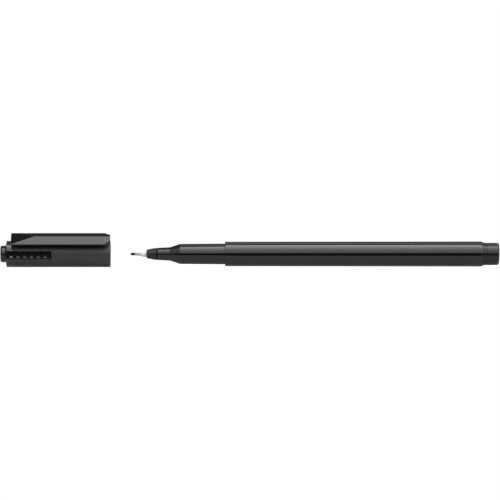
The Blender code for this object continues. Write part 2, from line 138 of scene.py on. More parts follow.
class Level:
    """A number that changes over a surface: a shader socket that takes part in sums."""

    def __init__(self, graph: "Graph", socket: bpy.types.NodeSocket) -> None:
        """Keep the socket and the graph that it belongs to."""
        self.graph = graph
        self.socket = socket

    __add__ = __radd__ = joined("ADD")
    __mul__ = __rmul__ = joined("MULTIPLY")
    __sub__, __rsub__ = joined("SUBTRACT"), joined("SUBTRACT", True)
    __truediv__, __rtruediv__ = joined("DIVIDE"), joined("DIVIDE", True)
    __pow__, __rpow__ = joined("POWER"), joined("POWER", True)

    def __neg__(self) -> "Level":
        """Change the sign."""
        return self * -1.0

    def __abs__(self) -> "Level":
        """Drop the sign."""
        return self.graph.maths("ABSOLUTE", self)

    def smooth(self, low: float, high: float) -> "Level":
        """Rise smoothly from 0 at the low number to 1 at the high one.

        Args:
            low: where the rise starts.
            high: where it ends.

        Returns:
            The smooth level.
        """
        settings = {"interpolation_type": "SMOOTHSTEP"}
        sockets = {"Value": self, "From Min": low, "From Max": high}
        node = self.graph.add("ShaderNodeMapRange", settings, sockets)
        return Level(self.graph, node.outputs[0])


Number = Union[Level, float]


class Graph:
    """A node tree that is written as expressions."""

    MIX_SHARE, MIX_FIRST, MIX_SECOND, MIX_RESULT = 0, 6, 7, 2

    def __init__(self, tree: bpy.types.NodeTree) -> None:
        """Start on an empty tree."""
        self.tree = tree
        tree.nodes.clear()

    def feed(self, socket: bpy.types.NodeSocket, value: Any) -> None:
        """Link a socket to a level or another socket, or set its number or colour.

        Args:
            socket: the input.
            value: what feeds it.
        """
        if isinstance(value, Level):
            value = value.socket
        if isinstance(value, bpy.types.NodeSocket):
            self.tree.links.new(value, socket)
        elif isinstance(value, tuple) and socket.type == "RGBA":
            socket.default_value = (*value, 1.0)
        else:
            socket.default_value = value

    def add(
        self,
        kind: str,
        settings: Optional[Dict[str, Any]] = None,
        sockets: Optional[Dict[Union[str, int], Any]] = None,
    ) -> bpy.types.Node:
        """Add a node.

        Args:
            kind: the node's type.
            settings: the node's own properties, set first.
            sockets: the value or link of each input, by name or place.

        Returns:
            The node.
        """
        node = self.tree.nodes.new(kind)
        for name, value in (settings or {}).items():
            setattr(node, name, value)
        for name, value in (sockets or {}).items():
            self.feed(node.inputs[name], value)
        return node

    def maths(self, operation: str, *values: Number) -> Level:
        """Add a Math node on one, two or three numbers."""
        node = self.add("ShaderNodeMath", {"operation": operation}, dict(enumerate(values)))
        return Level(self, node.outputs[0])

    def coordinates(self, name: str) -> bpy.types.NodeSocket:
        """Return one of the texture coordinates."""
        return self.add("ShaderNodeTexCoord").outputs[name]

    def split(self, vector: bpy.types.NodeSocket) -> List[Level]:
        """Return the three parts of a vector."""
        node = self.add("ShaderNodeSeparateXYZ", None, {"Vector": vector})
        return [Level(self, socket) for socket in node.outputs]

    def noise(self, sizes: Tuple[float, float, float], detail: float = SOFT_NOISE) -> Level:
        """Add soft noise, with a grain of its own size along each axis.

        Args:
            sizes: the grain's size along X, Y and Z.
            detail: how many finer layers it has.

        Returns:
            The noise, between 0 and 1.
        """
        scale = tuple(1 / size for size in sizes)
        place = {"Vector": self.coordinates("Object"), "Scale": scale}
        mapped = self.add("ShaderNodeMapping", None, place).outputs[0]
        sockets = {"Vector": mapped, "Scale": 1.0, "Detail": detail}
        return Level(self, self.add("ShaderNodeTexNoise", None, sockets).outputs[0])

    def mix(self, share: Number, first: Any, second: Any) -> bpy.types.NodeSocket:
        """Mix two colours by a share."""
        sockets = {self.MIX_SHARE: share, self.MIX_FIRST: first, self.MIX_SECOND: second}
        return self.add("ShaderNodeMix", {"data_type": "RGBA"}, sockets).outputs[self.MIX_RESULT]

    def rays(self) -> List[Level]:
        """Tell whether a ray comes from the camera, off a gloss or through glass.

        Returns:
            Three levels of 0 or 1, in that order.
        """
        path = self.add("ShaderNodeLightPath")
        names = ("Is Camera Ray", "Is Glossy Ray", "Is Transmission Ray")
        return [Level(self, path.outputs[name]) for name in names]

    def bump(self, height: Level, depth: float) -> bpy.types.NodeSocket:
        """Return a normal that follows a height of 0 to 1, scaled to a depth."""
        return self.add("ShaderNodeBump", None, {"Height": height, "Distance": depth}).outputs[0]

    def strands(self, length: float, width: float) -> Level:
        """Return noise drawn out into strands along X."""
        return self.noise((length, width, width), RICH_NOISE)


def scaled(colour: Colour, factor: float) -> Colour:
    """Return a colour made brighter or darker by a factor."""
    return tuple(part * factor for part in colour)


@dataclass(frozen=True)
class Finish:
    """What every finish of the object shares: a name, a colour and how it takes light."""

    name: str
    colour: Colour
    roughness: float
    ior: float = 1.47

    def material(self) -> bpy.types.Material:
        """Make the material: a Principled shader whose sockets the finish feeds.

        Returns:
            The material.
        """
        material = bpy.data.materials.new(self.name)
        material.use_nodes = True
        graph = Graph(material.node_tree)
        sockets = {"IOR": self.ior, **self.surface(graph)}
        shader = graph.add("ShaderNodeBsdfPrincipled", None, sockets)
        graph.add("ShaderNodeOutputMaterial", None, {"Surface": shader.outputs[0]})
        return material

    def surface(self, graph: Graph) -> Dict[str, Any]:
        """Return what feeds the shader's sockets."""
        raise NotImplementedError


@dataclass(frozen=True)
class Moulding(Finish):
    """Black plastic out of a mould: cloudy flow in its colour, a fine grain, and handling marks."""

    cloud_size: float = 7 * MM
    cloud_stretch: float = 2.0
    cloud_share: float = 0.3
    roughness_spread: float = 0.04
    grain_size: float = 0.07 * MM
    grain_depth: float = 0.0004 * MM
    mark_length: float = 6 * MM
    mark_width: float = 0.12 * MM
    mark_band: Span = (0.62, 0.74)
    mark_roughness: float = 0.05
    zone: Span = (0.0, 0.0)
    zone_roughness: float = 0.0

    def surface(self, graph: Graph) -> Dict[str, Any]:
        """Colour drifts with the flow; roughness follows the flow, the grain and hairline marks.

        A mould half may be textured otherwise: left of the zone, roughness differs by an amount.

        Args:
            graph: the material's nodes.

        Returns:
            What feeds the shader's sockets, by name.
        """
        size = self.cloud_size
        flow = graph.noise((self.cloud_stretch * size, size, size), RICH_NOISE)
        grain = graph.noise((self.grain_size,) * 3)
        hairlines = graph.noise((self.mark_length, self.mark_width, self.mark_width), PLAIN_NOISE)
        marks = hairlines.smooth(*self.mark_band)
        dull, bright = (scaled(self.colour, 1 + side * self.cloud_share) for side in (-1, 1))
        spread_by = (flow + grain - 2 * NOISE_MIDDLE) * self.roughness_spread
        rough = self.roughness + spread_by + marks * self.mark_roughness
        if self.zone_roughness:
            place = graph.split(graph.coordinates("Object"))[0]
            rough = rough + self.zone_roughness * (1 - place.smooth(*self.zone))
        return {
            "Base Color": graph.mix(flow, dull, bright),
            "Roughness": rough,
            "Normal": graph.bump(grain, self.grain_depth),
        }


@dataclass(frozen=True)
class NibFibre(Finish):
    """Pressed fibre: black with ink at the tip, stained behind it and pale further back."""

    tip: float = 0.0
    ink: Colour = (0.0005, 0.0005, 0.000625)
    stain: Colour = (0.11, 0.11, 0.112)
    ink_ends: Span = (1.1 * MM, 2.0 * MM)
    ink_shine: float = 0.25
    stain_ends: Span = (2.6 * MM, 4.2 * MM)
    ragged: float = 0.3 * MM
    strand_length: float = 1.6 * MM
    strand_width: float = 0.06 * MM
    strand_depth: float = 0.012 * MM
    strand_shade: float = 0.1
    strand_band: Span = (0.3, 0.7)
    glow: float = 1.0
    glow_depth: float = 10 * MM
    glow_tint: Colour = (1.0, 1.0, 1.0)

    def surface(self, graph: Graph) -> Dict[str, Any]:
        """Ink and stain fade with the distance from the tip, further along some strands.

        Args:
            graph: the material's nodes.

        Returns:
            What feeds the shader's sockets, by name.
        """
        strands = graph.strands(self.strand_length, self.strand_width)
        along = graph.split(graph.coordinates("Object"))[0] - self.tip
        soaked = along + (strands - NOISE_MIDDLE) * self.ragged
        dusky = scaled(self.colour, 1 - self.strand_shade)
        fibre = graph.mix(strands.smooth(*self.strand_band), dusky, self.colour)
        stained = graph.mix(soaked.smooth(*self.stain_ends), self.stain, fibre)
        past_ink = soaked.smooth(*self.ink_ends)
        return {
            "Base Color": graph.mix(past_ink, self.ink, stained),
            "Roughness": self.roughness - self.ink_shine * (1 - past_ink),
            "Normal": graph.bump(strands, self.strand_depth),
            "Subsurface Weight": self.glow,
            "Subsurface Radius": self.glow_tint,
            "Subsurface Scale": self.glow_depth,
        }


@dataclass(frozen=True)
class InkedFibre(Finish):
    """Loose fibre rod soaked with ink."""

    strand_length: float = 9 * MM
    strand_width: float = 0.12 * MM
    strand_depth: float = 0.03 * MM
    dry_band: Span = (0.4, 0.8)
    dry_times: float = 2.5
    shine: float = 0.3

    def surface(self, graph: Graph) -> Dict[str, Any]:
        """Strands run along the rod, paler where they hold less ink.

        Args:
            graph: the material's nodes.

        Returns:
            What feeds the shader's sockets, by name.
        """
        strands = graph.strands(self.strand_length, self.strand_width)
        pale = scaled(self.colour, self.dry_times)
        return {
            "Base Color": graph.mix(strands.smooth(*self.dry_band), self.colour, pale),
            "Roughness": self.roughness - self.shine * strands,
            "Normal": graph.bump(strands, self.strand_depth),
        }


@dataclass(frozen=True)
class ClearFilm(Finish):
    """Thin wrapping film, faintly wrinkled along its length."""

    wrinkle_length: float = 14 * MM
    wrinkle_width: float = 0.8 * MM
    wrinkle_depth: float = 0.02 * MM
    fold_shade: float = 0.8
    crest_roughness: float = 0.1

    def surface(self, graph: Graph) -> Dict[str, Any]:
        """Long shallow wrinkles, a little duller on their crests.

        Args:
            graph: the material's nodes.

        Returns:
            What feeds the shader's sockets, by name.
        """
        wrinkles = graph.noise((self.wrinkle_length, self.wrinkle_width, self.wrinkle_width))
        return {
            "Base Color": graph.mix(wrinkles, scaled(self.colour, self.fold_shade), self.colour),
            "Roughness": self.roughness + self.crest_roughness * wrinkles,
            "Normal": graph.bump(wrinkles, self.wrinkle_depth),
        }


BARREL_GLOSS = Moulding(
    "barrel_gloss_black", colour=(0.0038, 0.003, 0.0032), roughness=0.09, zone_roughness=0.16
)
PLUG_GLOSS = Moulding(
    "plug_semigloss_black", colour=(0.0055, 0.0045, 0.0047), roughness=0.24, ior=1.42
)
SLEEVE_GLOSS = Moulding("sleeve_semigloss_black", colour=(0.005, 0.0047, 0.0047), roughness=0.2)
CAP_SATIN = Moulding(
    "cap_satin_black",
    colour=(0.025, 0.025, 0.025),
    roughness=0.48,
    grain_depth=SATIN_GRAIN,
    zone_roughness=-0.36,
)
RIB_SATIN = replace(CAP_SATIN, name="rib_satin_black")
TOOTH_SATIN = replace(
    CAP_SATIN, name="tooth_satin_black", roughness=0.27, ior=1.7, zone_roughness=-0.06
)
CLIP_SATIN = Moulding(
    "clip_satin_black",
    colour=(0.004, 0.004, 0.004),
    roughness=0.22,
    ior=1.4,
    grain_depth=SATIN_GRAIN,
)
HOLDER_SATIN = replace(
    CLIP_SATIN, name="holder_satin_black", colour=(0.008, 0.008, 0.008), roughness=0.4, ior=1.41
)
# Near-black, dull finish of the ring in the neck's seam: painted shade standing in for the groove's
# shadow.
SEAM_SHADE = Moulding("seam_painted_shade", colour=(0.001, 0.001, 0.001), roughness=0.9, ior=1.12)
NIB_FIBRE = NibFibre("nib_fibre", colour=(0.63, 0.627, 0.619), roughness=0.85, ior=1.3)
ROD_FIBRE = InkedFibre("rod_inked_fibre", colour=(0.012, 0.012, 0.016), roughness=0.9)
SLEEVE_FILM = ClearFilm("sleeve_film", colour=(0.75, 0.76, 0.78), roughness=0.2)


@dataclass(frozen=True)
class Axis:
    """A turning axis: distances run along it, and angles round it from one direction to another."""

    start: Array
    along: Array
    out: Array
    side: Array

    def round(self, distance: Array, radius: Array, angle: Array) -> Array:
        """Place points: start + distance along + radius (cos(angle) out + sin(angle) side)."""
        return self.flat(distance, radius * np.cos(angle), radius * np.sin(angle))

    def flat(self, distance: Array, outward: Array, sideways: Array) -> Array:
        """Place points: start + distance along + outward out + sideways side."""
        parts = [distance[..., None] * self.along, outward[..., None] * self.out]
        return self.start + parts[0] + parts[1] + sideways[..., None] * self.side

    def places(self, *distances: float) -> Tuple[float, ...]:
        """Return the X coordinates at some distances."""
        return tuple(float(self.start[0] + distance * self.along[0]) for distance in distances)


def smooth_step(value: Array) -> Array:
    """Rise from 0 to 1 as 3 t^2 - 2 t^3, flat outside."""
    share = np.clip(value, 0, 1)
    return share * share * (3 - 2 * share)


def rounded(corners: Sequence[Corner], closed: bool, guards: bool = True) -> Array:
    """Draw an outline with its corners rounded.

    With u and v the unit directions from a corner to its neighbours and h half the angle between
    them, the arc's centre lies fillet / sin(h) along u + v, and the arc runs from fillet / tan(h)
    along u to as far along v, turned evenly.

    Args:
        corners: (distance, radius, fillet) of each corner, in order.
        closed: whether the last corner joins the first.
        guards: whether a straight stretch gets a point close beside each fillet.

    Returns:
        Points of (distance, radius), with long straight stretches split.
    """
    table = np.array(corners, float)
    here, fillet = table[:, :2], table[:, 2:]
    before, after = np.roll(here, 1, 0) - here, np.roll(here, -1, 0) - here
    before /= np.linalg.norm(before, axis=1, keepdims=True)
    after /= np.linalg.norm(after, axis=1, keepdims=True)
    cosine = np.clip((before * after).sum(1, keepdims=True), -NEARLY_ONE, NEARLY_ONE)
    half = np.arccos(cosine) / 2
    middle = (before + after) / np.linalg.norm(before + after, axis=1, keepdims=True)
    centre = here + middle * fillet / np.sin(half)
    first = here + before * fillet / np.tan(half) - centre
    last = here + after * fillet / np.tan(half) - centre
    turn = np.pi - 2 * half[:, None]
    share = np.linspace(0, 1, FILLET_STEPS + 1)[None, :, None]
    arc = np.sin((1 - share) * turn) * first[:, None] + np.sin(share * turn) * last[:, None]
    points = (centre[:, None] + arc / np.sin(turn)).reshape(-1, 2)
    if closed:
        points = np.vstack([points, points[:1]])
    steps = np.linalg.norm(np.diff(points, axis=0), axis=1)
    points = points[np.concatenate([[True], steps > TOUCHING])]
    points = spread(guarded(points) if guards else points, LONGEST_STEP)
    return points[:-1] if closed else points


def guarded(points: Array) -> Array:
    """Add a point close to each end of every long step, so that shading turns only at fillets.

    Args:
        points: a line of (distance, radius) points.

    Returns:
        The line with its guards: a + g and b - g between a and b, each a guard's length away.
    """
    steps = np.diff(points, axis=0)
    lengths = np.linalg.norm(steps, axis=1)
    shift = steps * (GUARD / lengths)[:, None]
    trio = np.stack([points[:-1], points[:-1] + shift, points[1:] - shift], 1)
    kept = np.ones(trio.shape[:2], bool)
    kept[:, 1:] = (lengths > GUARDED_FROM)[:, None]
    return np.vstack([trio[kept], points[-1:]])


def spread(points: Array, longest: float) -> Array:
    """Split the long steps of a line of points evenly, so that none is over a length.

    Args:
        points: the line's points.
        longest: the longest step that stays whole.

    Returns:
        The line with the new points: a + (b - a) k / n between a and b, for k from 1 to n - 1.
    """
    steps = np.diff(points, axis=0)
    counts = np.ceil(np.linalg.norm(steps, axis=1) / longest).astype(int)
    step = np.repeat(np.arange(len(counts)), counts)
    share = (np.arange(counts.sum()) - np.repeat(np.cumsum(counts) - counts, counts)) / counts[step]
    return np.vstack([points[step] + share[:, None] * steps[step], points[-1:]])


def quads(rows: int, columns: int, close_rows: bool) -> Array:
    """Return the faces of a grid of rows that each close round, as corner numbers.

    Args:
        rows: how many rows the grid has.
        columns: how many points a row has.
        close_rows: whether the last row joins the first.

    Returns:
        An array of (rows, columns, 4) point numbers, a row shorter if the rows don't close.
    """
    row = np.arange(rows if close_rows else rows - 1)[:, None]
    column = np.arange(columns)[None, :]
    next_row, next_column = (row + 1) % rows, (column + 1) % columns
    corners = [(row, column), (next_row, column), (next_row, next_column), (row, next_column)]
    return np.stack([r * columns + c for r, c in corners], axis=-1)


def closed_grid(rows: int, columns: int) -> List[List[int]]:
    """Return the faces of a grid of closed rows, with a face over its first row and its last."""
    faces = quads(rows, columns, False).reshape(-1, 4).tolist()
    return faces + [list(range(columns)), list(range((rows - 1) * columns, rows * columns))]


def new_piece(name: str, points: Array, faces: List[List[int]], finish: Finish) -> bpy.types.Object:
    """Make a smooth-shaded object whose faces point outwards.

    Args:
        name: the piece's name.
        points: its points, in the frame.
        faces: the point numbers of each face.
        finish: its finish.

    Returns:
        The object, at the origin.
    """
    mesh = bpy.data.meshes.new(name)
    mesh.from_pydata(points.reshape(-1, 3).tolist(), [], faces)
    body = bmesh.new()
    body.from_mesh(mesh)
    bmesh.ops.recalc_face_normals(body, faces=body.faces[:])
    body.to_mesh(mesh)
    body.free()
    mesh.shade_smooth()
    mesh.set_sharp_from_angle(angle=SHARP_FROM)
    mesh.materials.append(finish.material())
    piece = bpy.data.objects.new(name, mesh)
    bpy.context.scene.collection.objects.link(piece)
    return piece


def turned(
    name: str, axis: Axis, outline: Array, finish: Finish, relief: Optional[Relief] = None
) -> bpy.types.Object:
    """Turn an outline about an axis.

    Round it, the outline's point (d, r) lies at distance d and radius r + relief(d, r, a) for
    each angle a.

    Args:
        name: the piece's name.
        axis: what it turns about.
        outline: (distance, radius) points; a closed loop, unless both ends lie on the axis.
        finish: its finish.
        relief: how far the surface stands out, by distance, radius and angle.

    Returns:
        The piece.
    """
    angles = np.arange(ROUND_STEPS) * 2 * np.pi / ROUND_STEPS
    poles = bool(outline[0, 1] < TOUCHING)
    rings = outline[1:-1] if poles else outline
    distance, radius = (np.repeat(part, len(angles), 1) for part in (rings[:, :1], rings[:, 1:]))
    if relief is not None:
        radius = radius + relief(distance, radius, angles[None, :])
    points = axis.round(distance, radius, angles[None, :]).reshape(-1, 3)
    faces = quads(len(rings), len(angles), not poles).reshape(-1, 4).tolist()
    if poles:
        ends = axis.round(outline[[0, -1], 0], np.zeros(2), np.zeros(2))
        ring = np.arange(len(angles))
        last = ring + (len(rings) - 1) * len(angles)
        first_fan = np.stack([np.full_like(ring, len(points)), ring, np.roll(ring, -1)], 1)
        last_fan = np.stack([np.full_like(ring, len(points) + 1), np.roll(last, -1), last], 1)
        faces += first_fan.tolist() + last_fan.tolist()
        points = np.vstack([points, ends])
    return new_piece(name, points, faces, finish)


def soften(piece: bpy.types.Object, width: float, from_angle: float, steps: int = 3) -> None:
    """Round a piece's edges with a bevel that keeps its flats flat.

    Args:
        piece: the piece.
        width: the bevel's width.
        from_angle: the least angle between faces that is rounded.
        steps: how many faces the round has.
    """
    bevel = piece.modifiers.new("soft edges", "BEVEL")
    bevel.width = width
    bevel.segments = steps
    bevel.limit_method = "ANGLE"
    bevel.angle_limit = from_angle
    bevel.harden_normals = True


def seat(piece: bpy.types.Object, body: Body, slot: str, *nodes: str) -> None:
    """Let a piece ride on a body and stand for solids.

    Args:
        piece: the piece.
        body: the body that it rides on.
        slot: the record's material slot; not used.
        nodes: the solids that it stands for.
    """
    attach(piece, body.value)
    if nodes:
        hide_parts(*nodes)
    LOG.info("%s rides on %s, %d faces", piece.name, body.value, len(piece.data.polygons))


@dataclass(frozen=True)
class Barrel:
    """The long hollow moulding: tube, shoulder, front section, cone and neck."""

    rear_end: float = 5.86 * MM
    chamfer_end: float = 6.85 * MM
    shoulder: float = 99.25 * MM
    cone_foot: float = 115.55 * MM
    neck_foot: float = 119.15 * MM
    neck_end: float = 123.64 * MM
    rear_edge: float = 4.26 * MM
    tube_rear: float = 4.54 * MM
    tube_front: float = 4.44 * MM
    front_base: float = 3.77 * MM
    front_top: float = 3.65 * MM
    neck_base: float = 2.44 * MM
    neck_top: float = 2.23 * MM
    tube_bore: float = 3.59 * MM
    front_bore: float = 2.80 * MM
    neck_bore: float = 1.69 * MM
    step_floor: float = 98.4 * MM
    funnel_foot: float = 114.7 * MM
    funnel_top: float = 115.81 * MM
    rim: float = 0.05 * MM
    rear_rim: float = 0.2 * MM
    neck_rim: float = 0.06 * MM
    shoulder_fillet: float = 0.18 * MM
    bend: float = 0.3 * MM
    guide_ribs: int = 6
    guide_rib_foot: float = 12.73 * MM
    guide_rib_height: float = 0.64 * MM
    guide_rib_half_angle: float = math.radians(7)
    guide_rib_flank: float = 1.5

    def outline(self) -> Array:
        """Draw the closed outline: up the outside from the rear, then back down the bore.

        Returns:
            Points of (distance, radius).
        """
        corners = [
            (self.rear_end, self.rear_edge, self.rear_rim),
            (self.chamfer_end, self.tube_rear, self.bend),
            (self.shoulder, self.tube_front, self.shoulder_fillet),
            (self.shoulder, self.front_base, self.rim),
            (self.cone_foot, self.front_top, self.bend),
            (self.neck_foot, self.neck_base, self.bend),
            (self.neck_end, self.neck_top, self.neck_rim),
            (self.neck_end, self.neck_bore, self.rim),
            (self.funnel_top, self.neck_bore, 0),
            (self.funnel_foot, self.front_bore, 0),
            (self.step_floor, self.front_bore, 0),
            (self.step_floor, self.tube_bore, 0),
            (self.rear_end, self.tube_bore, self.rim),
        ]
        return rounded(corners, True)

    def guides(self, distance: Array, radius: Array, angle: Array) -> Array:
        """Stand even ribs in the tube's bore: a rounded pulse over angle, between two distances.

        Args:
            distance: how far along each point lies.
            radius: its radius on the plain bore.
            angle: its angle.

        Returns:
            How far it stands out, less than 0 where a rib stands inwards.
        """
        pitch = 2 * np.pi / self.guide_ribs
        off = np.abs((angle + pitch / 2) % pitch - pitch / 2)
        pulse = smooth_step(self.guide_rib_flank - off / self.guide_rib_half_angle)
        reach = (distance > self.guide_rib_foot) & (distance < self.step_floor)
        on_bore = np.abs(radius - self.tube_bore) < TOUCHING
        return -self.guide_rib_height * pulse * (reach & on_bore)

    def build(self, axis: Axis, finish: Finish) -> None:
        """Make the barrel and seat it on the pen."""
        piece = turned("barrel_moulding", axis, self.outline(), finish, self.guides)
        seat(piece, Body.PEN, "barrel", "barrel")


@dataclass(frozen=True)
class EndPlug:
    """The plug in the tube's rear: crowned head, groove, flared collar and a hollow stem."""

    crown_past: float = 0.08 * MM
    crown_flat: float = 1.0 * MM
    crown_bend: float = 20 * MM
    crown_foot: float = 0.2 * MM
    head: float = 4.66 * MM
    collar_foot: float = 4.82 * MM
    collar_flare: float = 5.15 * MM
    collar_end: float = 5.72 * MM
    seat_end: float = 5.83 * MM
    stem_end: float = 11.73 * MM
    hollow_floor: float = 6.16 * MM
    head_radius: float = 4.05 * MM
    head_draft: float = 0.04 * MM
    groove_radius: float = 3.92 * MM
    collar_radius: float = 4.18 * MM
    seat_radius: float = 3.9 * MM
    stem_radius: float = 3.49 * MM
    hollow_radius: float = 2.09 * MM
    edge: float = 0.9 * MM
    rim: float = 0.05 * MM
    groove_rim: float = 0.06 * MM
    collar_rim: float = 0.1 * MM
    stem_rim: float = 0.2 * MM

    def build(self, axis: Axis, finish: Finish) -> None:
        """Turn the plug's outline, from its crowned end round to the floor of its hollow.

        Args:
            axis: the pen's axis.
            finish: its finish.
        """
        corners = [
            (-self.crown_past, 0, 0),
            (-self.crown_past, self.crown_flat, self.crown_bend),
            (self.crown_foot, self.head_radius - self.head_draft, self.edge),
            (self.head, self.head_radius, self.groove_rim),
            (self.head, self.groove_radius, self.rim),
            (self.collar_foot, self.groove_radius, self.rim),
            (self.collar_foot, self.head_radius, self.groove_rim),
            (self.collar_flare, self.head_radius, self.groove_rim),
            (self.collar_end, self.collar_radius, self.collar_rim),
            (self.collar_end, self.seat_radius, 0),
            (self.seat_end, self.seat_radius, 0),
            (self.seat_end, self.stem_radius, self.rim),
            (self.stem_end, self.stem_radius, self.stem_rim),
            (self.stem_end, self.hollow_radius, self.rim),
            (self.hollow_floor, self.hollow_radius, self.stem_rim),
            (self.hollow_floor, 0, 0),
        ]
        piece = turned("rear_plug", axis, rounded(corners, False), finish)
        seat(piece, Body.PEN, "end_plug", "end_plug")


@dataclass(frozen=True)
class Tip:
    """The writing end: a tapered fibre nib in a bullet-shaped holder."""

    nib_foot: float = 109.6 * MM
    nib_end: float = 133.4 * MM
    nib_radius: float = 1.09 * MM
    nib_tip_radius: float = 0.47 * MM
    nib_tip_fillet: float = 0.36 * MM
    nib_waist: float = 130.4 * MM
    nib_waist_radius: float = 0.6 * MM
    waist_bend: float = 1.6 * MM
    nib_swell: float = 129.2 * MM
    nib_swell_radius: float = 1.0 * MM
    swell_bend: float = 1.0 * MM
    holder_stem_foot: float = 116.79 * MM
    holder_foot: float = 124.07 * MM
    seam_floor: float = 1.92 * MM
    seam_foot: float = 123.66 * MM
    seam_top: float = 2.1 * MM
    holder_end: float = 127.6 * MM
    holder_radius: float = 2.17 * MM
    holder_front: float = 1.59 * MM
    holder_bore: float = 1.19 * MM
    holder_land: float = 0.28 * MM
    holder_fillet: float = 0.36 * MM
    holder_bend: float = 0.8 * MM
    holder_rear_fillet: float = 0.06 * MM
    rim: float = 0.05 * MM
    stem_rim: float = 0.1 * MM

    def build_nib(self, axis: Axis, finish: Finish) -> None:
        """Turn the nib: a rod that narrows in a soft waist and tapers on to a rounded tip.

        Args:
            axis: the pen's axis.
            finish: its finish.
        """
        corners = [
            (self.nib_end, 0, 0),
            (self.nib_end, self.nib_tip_radius, self.nib_tip_fillet),
            (self.nib_waist, self.nib_waist_radius, self.waist_bend),
            (self.nib_swell, self.nib_swell_radius, self.swell_bend),
            (self.holder_end, self.nib_radius, self.rim),
            (self.nib_foot, self.nib_radius, self.stem_rim),
            (self.nib_foot, 0, 0),
        ]
        seat(turned("fibre_nib", axis, rounded(corners, False), finish), Body.PEN, "nib", "nib")

    def build_holder(self, axis: Axis, finish: Finish) -> None:
        """Turn the holder: a groove and a land at the neck, a taper to the front, a hollow stem.

        Args:
            axis: the pen's axis.
            finish: its finish.
        """
        corners = [
            (self.holder_end, self.holder_front, self.holder_fillet),
            (self.holder_foot + self.holder_land, self.holder_radius, self.holder_bend),
            (self.holder_foot, self.holder_radius, self.holder_rear_fillet),
            (self.holder_foot, self.seam_floor, 0),
            (self.seam_foot, self.seam_floor, 0),
            (self.seam_foot, self.holder_front, 0),
            (self.holder_stem_foot, self.holder_front, self.stem_rim),
            (self.holder_stem_foot, self.holder_bore, self.rim),
            (self.holder_end, self.holder_bore, self.rim),
        ]
        piece = turned("tip_holder", axis, rounded(corners, True), finish)
        seat(piece, Body.PEN, "nib_holder", "nib_holder")

    def build_seam_shade(self, axis: Axis, finish: Finish) -> None:
        """Turn a dark, dull ring in the seam between holder and neck: painted shade for the groove.

        Args:
            axis: the pen's axis.
            finish: its finish.
        """
        corners = [
            (self.holder_foot, self.seam_top, 0),
            (self.seam_foot, self.seam_top, 0),
            (self.seam_foot, self.seam_floor, 0),
            (self.holder_foot, self.seam_floor, 0),
        ]
        seat(turned("seam_shade_ring", axis, rounded(corners, True), finish), Body.PEN, "nib_holder")


@dataclass(frozen=True)
class Reservoir:
    """The ink supply inside the barrel: a fibre rod with a socket for the nib, in a film sleeve."""

    foot: float = 11.83 * MM
    end: float = 114.6 * MM
    socket_floor: float = 109.5 * MM
    socket_radius: float = 1.19 * MM
    core_radius: float = 2.43 * MM
    film_inside: float = 2.53 * MM
    film_outside: float = 2.65 * MM
    core_edge: float = 0.25 * MM

    def build(self, axis: Axis, fibre: Finish, film: Finish) -> None:
        """Turn the fibre rod and its sleeve.

        Args:
            axis: the pen's axis.
            fibre: the rod's finish.
            film: the sleeve's finish.
        """
        core = [
            (self.foot, 0, 0),
            (self.foot, self.core_radius, self.core_edge),
            (self.end, self.core_radius, self.core_edge),
            (self.end, self.socket_radius, self.core_edge),
            (self.socket_floor, self.socket_radius, self.core_edge),
            (self.socket_floor, 0, 0),
        ]
        sleeve = [
            (self.foot, self.film_outside, 0),
            (self.end, self.film_outside, 0),
            (self.end, self.film_inside, 0),
            (self.foot, self.film_inside, 0),
        ]
        piece = turned("ink_rod", axis, rounded(core, False), fibre)
        seat(piece, Body.PEN, "reservoir_core", "reservoir_core")
        piece = turned("film_sleeve", axis, rounded(sleeve, True), film)
        seat(piece, Body.PEN, "reservoir_film", "reservoir_film")


@dataclass(frozen=True)
class CapEnd:
    """What the cap's mouldings share: radii, the sloping and polished end, and the side windows."""

    bore: float = 3.97 * MM
    radius: float = 4.72 * MM
    length: float = 37.54 * MM
    rise: float = 0.5 * MM
    stub_radius: float = 3.0 * MM
    window_foot: float = 21.25 * MM
    window_from: float = math.radians(42)
    window_to: float = math.radians(81)
    polish: Span = (35.9 * MM, 34.3 * MM)

    def face(self, radius: float) -> float:
        """Return how far along the cap its sloping end face lies at a radius."""
        return self.length + self.rise * (self.radius - radius) / (self.radius - self.stub_radius)


